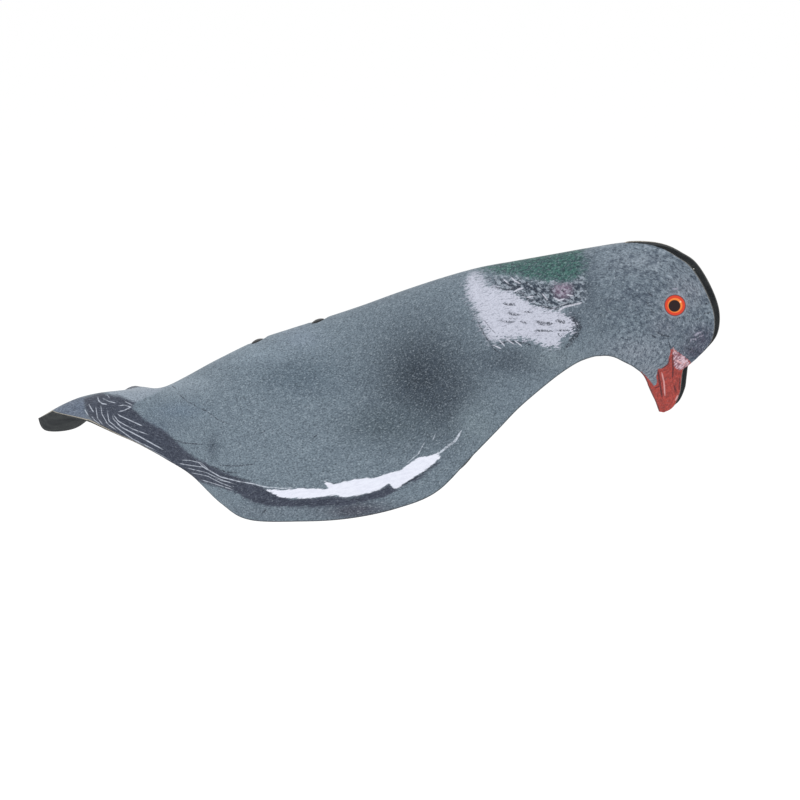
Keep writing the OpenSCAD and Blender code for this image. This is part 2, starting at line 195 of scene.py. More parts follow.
def span_steps():
    """How many rows each span of stations takes."""
    s = half_stations(RIGHT)
    steps = []
    for a, b in zip(s[:-1], s[1:]):
        reach = max(np.linalg.norm(b[:3] - a[:3]), np.linalg.norm(b[3:6] - a[3:6]))
        fine = a[0] > FINE_X or a[0] < TAIL_X
        steps.append(max(2, math.ceil(reach / (FINE_PITCH if fine else ROW_PITCH))))
    return steps


STEPS = span_steps()
SLIT_ROW = sum(STEPS[:NAPE])


def smooth_rows(stations):
    """Catmull-Rom curve through the stations."""
    rows = []
    last = len(stations) - 1
    for i, count in enumerate(STEPS):
        p, q = stations[max(i - 1, 0)], stations[i]
        r, s = stations[i + 1], stations[min(i + 2, last)]
        for t in np.arange(count) / count:
            rows.append(
                0.5 * (2 * q + (r - p) * t + (2 * p - 5 * q + 4 * r - s) * t * t
                       + (3 * q - p - 3 * r + s) * t**3)
            )
    rows.append(stations[last])
    return np.array(rows)


def half_skin(side):
    """Outer skin of one half as rows of points, from the ridge to the edge."""
    rows = smooth_rows(half_stations(side))
    top, edge, share = rows[:, None, 0:3], rows[:, None, 3:6], rows[:, None, 6:10]
    v = np.linspace(0, 1, ACROSS + 1)[None, :, None]
    leave, meet, swell, fall = (share[..., k : k + 1] for k in range(4))
    near_top = top + (edge - top) * np.concatenate([fall, leave, fall], -1)
    near_edge = edge + (top - edge) * np.concatenate([meet, 1 - swell, meet], -1)
    w = 1 - v
    skin = top * w**3 + 3 * near_top * v * w * w + 3 * near_edge * v * v * w + edge * v**3
    # Up to the nape the two halves meet on the midline
    joined = np.arange(len(rows)) <= SLIT_ROW
    pull = side * rows[:, 10:11] * joined[:, None] * (1 - v[0, :, 0][None, :]) ** SEAM_POWER
    skin[:, :, 1] -= pull
    return skin


def inward_normals(skin, side):
    """Unit vectors from the skin into the foam."""
    along = np.gradient(skin, axis=0)
    over = np.gradient(skin, axis=1) * side
    n = -np.cross(along, over)
    return n / np.linalg.norm(n, axis=-1, keepdims=True)


def two_halves():
    """Skin and inward vectors of both halves. They share their vectors where they meet."""
    skins = {side: half_skin(side) for side in (RIGHT, LEFT)}
    inward = {side: inward_normals(skins[side], side) for side in (RIGHT, LEFT)}
    shared = inward[RIGHT][: SLIT_ROW + 1, 0] + inward[LEFT][: SLIT_ROW + 1, 0]
    shared /= np.linalg.norm(shared, axis=-1, keepdims=True)
    for side in (RIGHT, LEFT):
        inward[side][: SLIT_ROW + 1, 0] = shared
    return skins, inward


SKINS, INWARD = two_halves()

# ---------------------------------------------------------------- dimples for the rivet heads

# All in mm
SEAT_DEPTH = 0.8
SEAT_R = 3.9
SEAT_FADE = 1.4
HEAD_DEPTH = 2.0  # a rivet's points this far below its top belong to its head


def rivet_places():
    """Centres of the two rivet heads in the row frame, from the CAD node's own points."""
    co = np.array([v.co for v in frame["nodes"]["push_rivets"].data.vertices], float)
    front = co[:, 0] > (co[:, 0].min() + co[:, 0].max()) / 2
    rivets = [co[front], co[~front]]
    return [rivet[rivet[:, 2] > rivet[:, 2].max() - HEAD_DEPTH * MM].mean(0) for rivet in rivets]


def sink_seats(skin, inward):
    """Presses the skin in under each rivet head."""
    row_frame = to_row(skin)
    depth = np.zeros(skin.shape[:2])
    for place in rivet_places():
        flat = np.linalg.norm((row_frame - place)[..., [0, 1]], axis=-1) / MM
        depth = np.maximum(depth, SEAT_DEPTH * np.clip(1 - (flat - SEAT_R) / SEAT_FADE, 0, 1))
    return skin + inward * depth[..., None]


# ---------------------------------------------------------------- sheets

EDGE_TAPER = 7.0  # mm from the cut edge at which the foam has its full thickness
EDGE_SHARE = 0.25  # share of the thickness that is left at the cut edge
TAIL_SHARE = 0.4  # share of the thickness in the tail
TAIL_FULL_X = -95.0  # the foam is at its full thickness in front of this ridge x
SHARP_FROM = math.radians(50)  # edges that fold by more than this stay sharp


def foam_depth(skin):
    """Depth of the foam's inner face. It thins at its cut lower edge and in the tail."""
    over = np.linalg.norm(np.diff(skin, axis=1), axis=2)
    from_edge = np.cumsum(over[:, ::-1], axis=1)[:, ::-1]
    to_edge = np.concatenate([from_edge, np.zeros((len(skin), 1))], 1)
    round_over = np.sqrt(np.clip(1 - (1 - np.clip(to_edge / EDGE_TAPER, 0, 1)) ** 2, 0, 1))
    pressed = np.clip((skin[:, :1, 0] - TAIL_X) / (TAIL_FULL_X - TAIL_X), 0, 1)
    thick = FOAM_T * (TAIL_SHARE + (1 - TAIL_SHARE) * pressed)
    return FABRIC_T + thick * (EDGE_SHARE + (1 - EDGE_SHARE) * round_over)


def sheet_mesh(name, skin, inward, top, low):
    """Closed sheet between two depths below the skin. Its rim faces take material 1."""
    low = np.broadcast_to(low, skin.shape[:2])[..., None]
    rows, cols = skin.shape[:2]
    count = rows * cols
    layers = (skin + inward * top, skin + inward * low)
    points = np.concatenate([layer.reshape(-1, 3) for layer in layers])
    index = np.arange(count).reshape(rows, cols)
    a, b, c, d = index[:-1, :-1], index[:-1, 1:], index[1:, 1:], index[1:, :-1]
    outer = np.stack([a, b, c, d], -1).reshape(-1, 4)
    inner = outer[:, ::-1] + count

    def wall(line):
        p, q = line[:-1], line[1:]
        return np.stack([p, p + count, q + count, q], -1)

    rim = np.concatenate(
        [wall(index[:, 0])[:, ::-1], wall(index[:, -1]), wall(index[0]), wall(index[-1])[:, ::-1]]
    )
    faces = np.concatenate([outer, inner, rim])
    flip = np.cross(skin[1, 1] - skin[1, 0], skin[2, 1] - skin[1, 0]) @ inward[1, 1] > 0
    if flip:
        faces = faces[:, ::-1]
    mesh = bpy.data.meshes.new(name)
    mesh.vertices.add(len(points))
    mesh.vertices.foreach_set("co", to_row(points).astype(np.float32).ravel())
    mesh.loops.add(faces.size)
    mesh.loops.foreach_set("vertex_index", faces.astype(np.int32).ravel())
    mesh.polygons.add(len(faces))
    mesh.polygons.foreach_set("loop_start", np.arange(0, faces.size, 4, dtype=np.int32))
    kind = np.zeros(len(faces), np.int32)
    kind[2 * len(outer) :] = 1
    mesh.polygons.foreach_set("material_index", kind)
    mesh.update(calc_edges=True)
    mesh.validate()
    mesh.polygons.foreach_set("use_smooth", np.ones(len(mesh.polygons), bool))
    mesh.set_sharp_from_angle(angle=SHARP_FROM)
    return mesh


def add_vectors(mesh, name, values):
    """Writes one vector per skin point, the same on both faces of the sheet."""
    flat = values.reshape(-1, values.shape[-1])
    if flat.shape[1] == 2:
        flat = np.concatenate([flat, np.zeros((len(flat), 1))], 1)
    layer = mesh.attributes.new(name, "FLOAT_VECTOR", "POINT")
    layer.data.foreach_set("vector", np.concatenate([flat, flat]).astype(np.float32).ravel())


# ---------------------------------------------------------------- the print, in mm on the side view

# The tables of outlines, strokes and plumage patches weren't drawn in mm. Their places were read by
# eye from a picture of the object, and another script rescaled them to mm, rounded and wrote them.

# Centre of the eye
EYE = (154.0, 53.0)
# The blush on the neck, measured from the eye
NECK_BLUSH = (-63.0, 9.0)
# How far forward the head's mottling begins and is full
HEAD_FROM, HEAD_FULL = 100.0, 125.0
# Degrees by which the neck's plumes are turned
PLUME_ANGLE = -50
# The white patch is soft at the back and sharp at the front
WHITE_SOFT_TO, WHITE_SHARP_FROM = 44.0, 66.0

NECK_WHITE = [
    (39, 70.5), (37, 64), (38.5, 57.5), (42, 50.5), (46, 42), (50, 33.5), (54, 33), (59, 34.5),
    (68.5, 34.5), (75.5, 33.5), (80.5, 30), (88, 29.5), (90, 34.5), (97.5, 38), (98.5, 42.5),
    (94.5, 47), (88, 50), (75.5, 52.5), (68.5, 57), (62.5, 60.5), (52.5, 63), (47, 65.5), (45, 70.5),
]

NECK_GREEN = [
    (45, 75), (73, 84), (101.5, 89.5), (103, 77.5), (101, 68), (93, 64), (83, 65), (73, 66.5),
    (64.5, 69), (54, 70.5),
]

NECK_SCALES = [
    (48, 69), (64.5, 69), (73, 67), (83, 65.5), (93, 65), (102, 69.5), (103, 58), (102.5, 54.5),
    (92, 51.5), (84.5, 50.5), (75.5, 52.5), (68.5, 56.5), (62.5, 60.5), (52.5, 63.5),
]

WING_STRIPE = [
    (-76, -50), (-65, -50.5), (-57, -49.5), (-50.5, -49.5), (-41.5, -50), (-40, -50), (-41.5, -47.5),
    (-42.5, -45.5), (-37, -47), (-30, -45.5), (-19.5, -43.5), (-15.5, -44), (-6, -41), (1, -39),
    (5.5, -35.5), (10.5, -32), (15.5, -31.5), (20.5, -30), (23, -29), (22, -33), (13.5, -40),
    (5.5, -44.5), (-1, -49.5), (-4, -49.5), (-6, -46), (-11, -50), (-19.5, -52.5), (-30, -54.5),
    (-36.5, -53), (-50.5, -55), (-61, -55), (-68.5, -54.5), (-66.5, -53), (-71.5, -52.5),
]

DARK_WING = [
    (-177.5, 1), (-168, 4.5), (-163.5, 3), (-156, 2), (-150.5, -0.5), (-148, -1.5), (-150, -4),
    (-146.5, -7), (-143, -11), (-137.5, -14.5), (-131.5, -17.5), (-125, -23.5), (-120, -28.5),
    (-115.5, -31.5), (-107.5, -36), (-99.5, -40), (-89, -44), (-78, -48), (-71.5, -51.5), (-61, -55.5),
    (-37, -54), (-30, -55), (-19.5, -52.5), (-11, -50), (-6, -46.5), (-3.5, -49.5), (5.5, -45),
    (22, -33.5), (21.5, -35.5), (11.5, -43.5), (-1, -51), (-11, -55), (-24, -58), (-34, -59.5),
    (-46.5, -60), (-61, -60), (-74.5, -59.5), (-82, -57.5), (-88, -54.5), (-91.5, -52),
    (-102.5, -48.5), (-110, -46.5), (-123, -42.5), (-145.5, -29), (-166, -19), (-174.5, -9.5),
    (-177, -3),
]

TAIL_BAND = [
    (-193, -1), (-186, 1), (-178, 3.5), (-177, -3), (-176, -8), (-173, -12.5), (-185, -11),
    (-193, -6.5),
]

TAIL_LENS = [
    (-164, 4.5), (-156, 6), (-145, 6.5), (-132.5, 6.5), (-137.5, 3.5), (-143, 1), (-148, -1.5),
    (-150.5, -1), (-154.5, 1), (-161.5, 3),
]

BILL = [
    (135, 16), (139, 12), (142.5, 7.5), (144, 9.5), (143.5, 13.5), (144.5, 17.5), (146.5, 17.5),
    (150, 20.5), (151, 25), (152, 29), (155, 27.5), (159.5, 24), (162.5, 21.5), (166.5, 15.5),
    (162.5, -11), (140, -11), (132, 15.5),
]

CERE = [
    (152.5, 28.5), (155, 27), (159.5, 24), (162.5, 20.5), (159.5, 18), (156.5, 16.5), (153.5, 19),
]

# Strokes: width, then the points of the stroke
PALE_LINES = [
    [1.5, (20.7, -30.8), (26.3, -26.3), (30.8, -23), (33, -19.6), (34.7, -16.5)],
    [0.5, (14.6, -22.4), (12.3, -26.3), (10.4, -30), (6.7, -33), (3.1, -36.1)],
    [0.4, (20.2, -18.2), (18.2, -22.7)],
    [0.7, (-115.9, -32.2), (-109.8, -37.8), (-100.5, -43.1), (-90.2, -45.6), (-81.8, -47),
     (-75.6, -48.7), (-65.2, -49.6), (-56.8, -48.4)],
    [0.4, (-123.2, -33.6), (-117, -33.9), (-112, -35.3)],
    [0.4, (-125.2, -35.3), (-116.8, -36.7), (-108.6, -37.8)],
    [0.4, (-121.8, -37.5), (-108.6, -40.6), (-99.7, -44.8), (-89.9, -47.9)],
    [0.4, (-119, -40.3), (-107.8, -42.6), (-100.2, -46.5), (-92.1, -49.6)],
    [0.4, (-112.8, -44.2), (-102.5, -47.3), (-92.1, -50.7)],
    [0.7, (-169.4, 2), (-168.6, -0.6), (-166.9, -2), (-163.8, -2.5)],
    [0.5, (-166.9, 1.1), (-163, -0.8), (-158.8, -1.7)],
    [0.3, (-164.4, 3.4), (-162.4, 0.8)],
    [0.6, (-174.4, -2), (-172.8, -5), (-171.4, -7)],
    [0.5, (-176.7, -5), (-175.6, -7), (-174.4, -9)],
    [0.4, (-173, -8.7), (-171.1, -11.2), (-167.7, -13.7)],
    [0.4, (-170.5, -2.8), (-169.4, -10.1), (-166, -14.3)],
    [0.5, (-167.7, -2), (-166.9, -7.8), (-163.8, -13.4), (-157.9, -17.6)],
    [0.5, (-164.4, -3.6), (-163, -11.8), (-157.9, -16), (-149.8, -21.8), (-135, -29.1)],
    [0.7, (-161.3, -7), (-160.7, -10.4), (-156.2, -15.1), (-146.4, -20.2), (-130.8, -28.8)],
    [0.5, (-161.3, -7), (-157.9, -11.8), (-149.8, -16.2), (-139.7, -19.9)],
    [0.6, (-158.8, -7), (-157.1, -8.7), (-149.8, -12), (-143.1, -15.1)],
    [0.5, (-158.8, -6.7), (-154.6, -5.9), (-150.6, -3.9), (-154.6, -2.8), (-158.8, -3.4)],
    [0.4, (-154.6, -0.6), (-149.8, -2.8)],
    [0.4, (-165.8, -16.2), (-156.8, -20.4), (-146.4, -25.2), (-128.2, -35.3)],
    [0.3, (-157.9, -18.5), (-146.4, -24.1), (-135, -30.2), (-125.2, -35.8)],
    [0.4, (-114.8, -34.4), (-111.2, -35.3), (-106.4, -39.8)],
]

NECK_SLASHES = [
    [1, (87.9, 49.6), (92.1, 52.1), (102.5, 54.6)],
    [0.9, (63.8, 60.5), (66.6, 62.2), (69.2, 62.7)],
    [0.7, (71.1, 57.4), (75, 58.2)],
    [0.8, (85.7, 57.7), (89, 55.7), (92.4, 56.8)],
    [0.7, (79.5, 59.9), (82.9, 55.7)],
    [0.7, (93, 59.1), (97.4, 58.2)],
    [0.8, (62.2, 68.9), (64.4, 66.6), (67.8, 65)],
    [0.6, (57.7, 67.8), (61, 65)],
    [0.7, (52.1, 30.8), (57.1, 28.6)],
    [0.6, (55.4, 33.6), (58.8, 30.2)],
    [0.6, (59.4, 34.2), (64.4, 30.8)],
    [0.6, (63.8, 33.6), (68.3, 30.2)],
]

DARK_STREAKS = [
    [0.8, (52.6, 63.3), (59.9, 61.6), (68.3, 63.8)],
    [0.9, (57.1, 67.8), (61.6, 63.8), (67.2, 63.6)],
    [0.9, (63.8, 60.2), (69.4, 59.4), (72.2, 55.7), (76.7, 56.6)],
    [1.1, (77, 53.2), (86.8, 50.7), (90.7, 53.2), (98, 53.8)],
    [0.8, (76.7, 64.4), (81.2, 60.5), (85.1, 58.2)],
    [0.7, (82.9, 61.6), (87.4, 57.7)],
    [0.8, (70, 66.6), (75, 61.6), (79, 57.7)],
    [0.9, (89.6, 62.2), (93.5, 59.9)],
    [0.8, (81.2, 56), (85.7, 53.2)],
    [1.2, (57.1, 54.3), (61, 53.5), (65.5, 53.5)],
    [1.3, (59.9, 49), (63.3, 47.9), (67.2, 47.6)],
    [1, (69.7, 49.6), (73.9, 49)],
    [1, (55.2, 44.5), (59.4, 44), (64.4, 43.7)],
    [1.1, (67.2, 44), (71.1, 43.1)],
    [1.9, (75.9, 44), (80.6, 42.6), (85.7, 42.8)],
    [1.7, (86.8, 44.5), (93, 43.4)],
    [1.1, (74.5, 38.6), (80.1, 38.9), (86.2, 38.4)],
    [1, (87.9, 38.9), (95.2, 39.2)],
    [1.3, (88.5, 37.2), (90.7, 35.3)],
    [2.2, (94.6, 47.9), (97.7, 44.8), (100.8, 40.9), (98.6, 36.1), (94.6, 31.4), (92.1, 28)],
    [0.6, (42.6, 45.9), (47, 37), (52.1, 29.1), (57.7, 24.6)],
    [0.5, (46.5, 45.9), (50.4, 40.3), (53.8, 37)],
    [0.9, (53.8, 30.8), (60.5, 33), (69.4, 31.9), (75, 30.2)],
    [0.6, (105.3, 31.9), (107.5, 32.5)],
    [0.6, (-112.8, -4.2), (-107.5, -6.7), (-101.4, -11.5), (-95.2, -13.4)],
    [0.6, (-125.2, 4.2), (-118.4, -1.1), (-112.8, -4.2)],
    [0.5, (-128.2, 8.1), (-124.9, 6.2)],
    [0.7, (-102.5, -36.4), (-92.1, -37), (-80.6, -35.8)],
    [0.8, (-107.8, -36.4), (-97.4, -40.3), (-89, -40.9)],
    [0.7, (-102.5, -41.2), (-93.2, -43.4), (-81.8, -45.6)],
    [0.7, (-135.5, -16.8), (-131, -20.7), (-121, -24.1), (-109.2, -24.9)],
    [0.9, (-77.3, -63.3), (-75, -61.3)],
    [0.9, (-2.2, -49.8), (5.6, -45.4), (13.4, -40.3), (21.8, -34.2)],
    [0.6, (-79.5, -19), (-74.5, -16.8)],
    [0.6, (-48.7, -21.3), (-45.9, -19)],
    [0.9, (150.4, 33), (151.8, 28)],
    [1, (170, 48.4), (174.2, 49.3)],
    [0.9, (170.8, 54), (172.2, 53.8)],
    [0.7, (165.8, 44.8), (169.4, 47)],
    [1, (155.4, 45.6), (156.8, 46.5)],
    [0.9, (142.8, 38.6), (146.7, 36.4), (151.2, 35.3)],
    [1, (138.9, 61), (141.1, 57.7)],
    [1, (137.8, 56), (140, 52.1)],
    [0.8, (140.6, 51), (142.8, 47.6)],
    [0.7, (140, 37), (143.4, 34.7)],
    [0.8, (157.9, 30.2), (164.6, 27.4), (170.2, 25.2)],
    [0.7, (160.2, 34.7), (162.4, 30.2)],
]

BILL_LINES = [
    [1.1, (144.2, 17.4), (145.3, 10.6), (147, 0.6)],
    [0.9, (152.6, 26.9), (152.9, 17.4), (152.6, 11.2)],
    [0.7, (146.4, 17.4), (149.8, 19.6), (151.5, 24.1)],
    [1, (153.4, 8.4), (154.6, 4.5)],
    [0.6, (142.8, 6.7), (145.3, 7.8)],
    [1.2, (160.2, 16.2), (159.9, 9), (157.6, 1.7)],
    [0.7, (156.8, 12.9), (156.2, 5)],
]

BILL_SHEEN = [
    [0.8, (146.4, 16.2), (147.8, 10.1), (148.4, 1.7)],
    [0.9, (154.6, 22.4), (157.9, 20.2)],
    [0.8, (155.7, 2.8), (154, -0.6)],
    [0.7, (152.9, 29.7), (154, 26.3)],
    [0.6, (158.5, 19), (160.2, 21.3)],
]

FACE_SMUDGE = [
    [0.7, (162.4, 31.9), (163, 33.9), (165.2, 34.4), (166.3, 33)],
    [0.9, (164.4, 35.6), (166.9, 37.5), (169.4, 38.4)],
    [0.7, (167.4, 35.3), (170.2, 36.4)],
    [0.8, (152.3, 62.2), (155.7, 62.4)],
]

# Plumage: place on the print, how far it reaches right and up, then its colour in sRGB
PLUMAGE_BASE = (112, 126, 137)
PLUMAGE = [
    (-189, -3, 13, 8, 92, 102, 118),
    (-124, 9, 19, 5, 135, 148, 159),
    (-124, -6, 15, 5, 103, 119, 134),
    (-140, -15, 15, 5, 96, 110, 124),
    # The next two make a whitish streak along the ridge of the back
    (-77, 25, 17, 7, 132, 147, 159),
    (-56, 35, 11, 7, 124, 138, 152),
    (-57, 13, 28, 12, 92, 107, 119),
    (13, 13, 30, 32, 48, 58, 68),
    (27, -1, 13, 17, 62, 72, 82),
    (-8, -14, 24, 10, 82, 95, 104),
    (43, -13, 12, 12, 114, 128, 137),
    (64, 22, 21, 9, 74, 85, 96),
    (87, 24, 15, 8, 117, 130, 139),
    (108, 53, 11, 17, 97, 109, 120),
    (103, 63, 5, 8, 66, 76, 88),
    (105, 77, 6, 10, 80, 93, 104),
    (97, 43, 4, 7, 62, 71, 84),
    (-105, -26, 3, 6, 74, 86, 98),
    (-77, -63, 22, 6, 106, 118, 129),
    (-24, -62, 21, 6, 72, 74, 86),
    (134, 77, 25, 9, 125, 136, 147),
    (134, 57, 15, 9, 101, 113, 125),
    (161, 60, 12, 11, 122, 129, 140),
    (169, 35, 9, 8, 74, 75, 92),
    (164, 27, 9, 5, 66, 62, 80),
    (134, 27, 19, 8, 132, 141, 152),
    (148, 41, 10, 7, 106, 114, 126),
    (139, 15, 8, 6, 130, 138, 148),
]


def to_linear(rgb):
    c = np.asarray(rgb, float) / 255
    return np.where(c <= 0.04045, c / 12.92, ((c + 0.055) / 1.055) ** 2.4)


def tone_at(places):
    """Colour of the plumage: soft patches laid one after the other over the base tone."""
    tone = np.tile(to_linear(PLUMAGE_BASE), (len(places), 1))
    for u, v, reach_u, reach_v, *rgb in PLUMAGE:
        off = (places - (u, v)) / (reach_u, reach_v)
        share = np.exp(-(off**2).sum(1))[:, None]
        tone = tone * (1 - share) + to_linear(rgb) * share
    return tone


def near_line(places, line):
    """Distance to a line, on which side of it a place is, and how far along it, from 0 to 1."""
    line = np.asarray(line, float)
    lengths = np.linalg.norm(np.diff(line, axis=0), axis=1)
    starts = np.concatenate([[0], np.cumsum(lengths)[:-1]])
    best = np.full(len(places), np.inf)
    side = np.zeros(len(places))
    share = np.zeros(len(places))
    for p, q, start, length in zip(line[:-1], line[1:], starts, lengths):
        way = (q - p) / length
        rel = places - p
        t = np.clip(rel @ way, 0, length)
        off = rel - t[:, None] * way
        d = np.hypot(off[:, 0], off[:, 1])
        closer = d < best
        best = np.where(closer, d, best)
        side = np.where(closer, np.sign(way[0] * rel[:, 1] - way[1] * rel[:, 0]), side)
        share = np.where(closer, (start + t) / lengths.sum(), share)
    return best, side, share


AREA_REACH = 12.0  # mm at which the distance to an outline stops growing
NO_FALL = 1e-9  # stands for the height of a level side


def depth_in(places, outline):
    """Distance to an outline, above 0 inside it."""
    closed = [*outline, outline[0]]
    distance = near_line(places, closed)[0]
    inside = np.zeros(len(places), bool)
    for (x0, y0), (x1, y1) in zip(closed[:-1], closed[1:]):
        crosses = (y0 > places[:, 1]) != (y1 > places[:, 1])
        at = x0 + (places[:, 1] - y0) * (x1 - x0) / ((y1 - y0) or NO_FALL)
        inside ^= crosses & (places[:, 0] < at)
    return np.clip(np.where(inside, distance, -distance), -AREA_REACH, AREA_REACH)


LAYER_GAP = 4.0  # mm between the strokes of one layer
STROKE_SAMPLES = 12  # places looked at on each piece of a stroke


def stroke_layers(strokes):
    """Shares strokes out so that those of one layer keep apart."""
    layers = []
    for width, *line in strokes:
        points = np.asarray(line, float)
        pieces = zip(points[:-1], points[1:])
        dense = np.concatenate([np.linspace(p, q, STROKE_SAMPLES) for p, q in pieces])
        for layer in layers:
            if all(near_line(dense, other)[0].min() > LAYER_GAP for _, other in layer):
                layer.append((width, line))
                break
        else:
            layers.append([(width, line)])
    return layers


END_SHARE = 0.16  # share of a stroke's length over which each end narrows
STROKE_REACH = 6.0  # mm at which the distance to a stroke stops growing


def layer_values(places, layer):
    """Side distance from the nearest stroke, plain distance, and half width there."""
    near = np.full(len(places), np.inf)
    value = np.zeros((len(places), 3))
    for width, line in layer:
        distance, side, share = near_line(places, line)
        taper = np.clip(np.minimum(share, 1 - share) / END_SHARE, 0, 1)
        rows = np.stack([distance * side, distance, width / 2 * taper], 1)
        closer = distance < near
        near = np.where(closer, distance, near)
        value[closer] = rows[closer]
    value[:, :2] = np.clip(value[:, :2], -STROKE_REACH, STROKE_REACH)
    return value


# ---------------------------------------------------------------- shader building


class Paint:
    """Short names for the shader nodes that one material is built from."""

    def __init__(self, name):
        self.material = bpy.data.materials.new(name)
        self.material.use_nodes = True
        self.tree = self.material.node_tree
        self.bsdf = self.tree.nodes["Principled BSDF"]

    def node(self, kind, **settings):
        n = self.tree.nodes.new(kind)
        for key, value in settings.items():
            setattr(n, key, value)
        return n

    def put(self, socket, value):
        if isinstance(value, bpy.types.NodeSocket):
            self.tree.links.new(value, socket)
        else:
            socket.default_value = value

    def attribute(self, name):
        return self.node("ShaderNodeAttribute", attribute_name=name).outputs["Vector"]

    def colour_attribute(self, name):
        return self.node("ShaderNodeAttribute", attribute_name=name).outputs["Color"]

    def split(self, vector):
        n = self.node("ShaderNodeSeparateXYZ")
        self.put(n.inputs[0], vector)
        return n.outputs

    def math(self, operation, a, b=0.0, c=0.0):
        n = self.node("ShaderNodeMath", operation=operation)
        for socket, value in zip(n.inputs, (a, b, c)):
            self.put(socket, value)
        return n.outputs[0]

    def vector(self, operation, a, b=(0, 0, 0)):
        n = self.node("ShaderNodeVectorMath", operation=operation)
        self.put(n.inputs[0], a)
        self.put(n.inputs[1], b)
        return n.outputs["Value" if operation == "LENGTH" else "Vector"]

    def ramp(self, value, low, high, out_low=0.0, out_high=1.0):
        n = self.node("ShaderNodeMapRange", interpolation_type="SMOOTHSTEP", clamp=True)
        for socket, v in zip(n.inputs, (value, low, high, out_low, out_high)):
            self.put(socket, v)
        return n.outputs[0]

    def turned(self, vector, degrees):
        n = self.node("ShaderNodeVectorRotate", rotation_type="Z_AXIS")
        self.put(n.inputs["Vector"], vector)
        self.put(n.inputs["Angle"], math.radians(degrees))
        return n.outputs[0]

    def noise(self, vector, scale, detail=2.0, roughness=0.5, stretch=None):
        if stretch:
            vector = self.vector("MULTIPLY", vector, stretch)
        n = self.node("ShaderNodeTexNoise")
        self.put(n.inputs["Vector"], vector)
        self.put(n.inputs["Scale"], scale)
        self.put(n.inputs["Detail"], detail)
        self.put(n.inputs["Roughness"], roughness)
        return n.outputs[0]

    def mix(self, share, a, b, blend="MIX"):
        n = self.node("ShaderNodeMix", data_type="RGBA", blend_type=blend)
        self.put(n.inputs[0], share)
        for socket, value in ((n.inputs[6], a), (n.inputs[7], b)):
            value = (*to_linear(value), 1.0) if isinstance(value, tuple) else value
            self.put(socket, value)
        return n.outputs[2]

    def bump(self, height, strength, distance, after=None):
        n = self.node("ShaderNodeBump")
        self.put(n.inputs["Height"], height)
        self.put(n.inputs["Strength"], strength)
        self.put(n.inputs["Distance"], distance)
        if after is not None:
            self.put(n.inputs["Normal"], after)
        return n.outputs[0]

    def set(self, **values):
        for name, value in values.items():
            self.put(self.bsdf.inputs[name.replace("_", " ")], value)
        return self.material


# ---------------------------------------------------------------- the printed face


def grown(paint, depth, ragged, rag_noise, soft):
    """Mask of an area whose border is shifted in and out by noise."""
    shift = paint.math("MULTIPLY_ADD", rag_noise, 2 * ragged, -ragged)
    moved = paint.math("DIVIDE", paint.math("ADD", depth, shift), soft)
    return paint.ramp(moved, -1.0, 1.0)


LINE_REACH = 1.9  # mm from a stroke beyond which nothing of it is drawn


def line_mask(paint, layer_name, soft, thin):
    """Mask of one layer's strokes."""
    side, near, half = paint.split(paint.attribute(layer_name))[:3]
    half = paint.math("MULTIPLY", half, thin)
    edge = paint.math("SUBTRACT", half, paint.math("ABSOLUTE", side))
    on = paint.ramp(edge, -soft, soft)
    close = paint.math("LESS_THAN", near, LINE_REACH)
    there = paint.ramp(half, 0.02, 0.15)
    return paint.math("MULTIPLY", paint.math("MULTIPLY", on, close), there)


def draw_lines(paint, colour, group, ink, strength, wear=None, soft=0.22, thin=1.0):
    """Lays a group of strokes over a colour."""
    for k in range(LAYER_COUNTS[group]):
        share = paint.math("MULTIPLY", line_mask(paint, f"{group}{k}", soft, thin), strength)
        if wear is not None:
            share = paint.math("MULTIPLY", share, wear)
        colour = paint.mix(share, colour, ink)
    return colour


STROKES = {
    "pale": PALE_LINES,
    "neck": NECK_SLASHES,
    "dark": DARK_STREAKS,
    "bill": BILL_LINES,
    "sheen": BILL_SHEEN,
    "face": FACE_SMUDGE,
}
# Strokes that come close to each other need attributes of their own
LAYERS = {name: stroke_layers(strokes) for name, strokes in STROKES.items()}
LAYER_COUNTS = {name: len(layers) for name, layers in LAYERS.items()}
# Three outlines to an attribute
AREAS = {
    "area_a": (NECK_WHITE, NECK_GREEN, NECK_SCALES),
    "area_b": (DARK_WING, TAIL_BAND, TAIL_LENS),
    "area_c": (WING_STRIPE, BILL, CERE),
}


def print_attributes(mesh):
    """The artwork on the sheet. Both halves carry the right half's artwork, mirrored."""
    places = on_print(SKINS[RIGHT].reshape(-1, 3))
    along = np.linalg.norm(np.diff(SKINS[RIGHT], axis=0), axis=2)
    over = np.linalg.norm(np.diff(SKINS[RIGHT], axis=1), axis=2)
    run = np.zeros(SKINS[RIGHT].shape[:2])
    run[1:] = np.cumsum(along.mean(1))[:, None]
    out = np.zeros_like(run)
    out[:, 1:] = np.cumsum(over, axis=1)
    left_over = out[:, -1:] - out
    add_vectors(mesh, "cloth", np.stack([run, out, left_over], -1))
    eye = places - EYE
    add_vectors(mesh, "eye", np.concatenate([eye, places[:, :1]], 1))
    for name, outlines in AREAS.items():
        add_vectors(mesh, name, np.stack([depth_in(places, o) for o in outlines], 1))
    for name, layers in LAYERS.items():
        for k, layer in enumerate(layers):
            add_vectors(mesh, f"{name}{k}", layer_values(places, layer))
    tone = tone_at(places)
    tone = np.concatenate([np.concatenate([tone, np.ones((len(tone), 1))], 1)] * 2)
    layer = mesh.attributes.new("tone", "FLOAT_COLOR", "POINT")
    layer.data.foreach_set("color", tone.astype(np.float32).ravel())


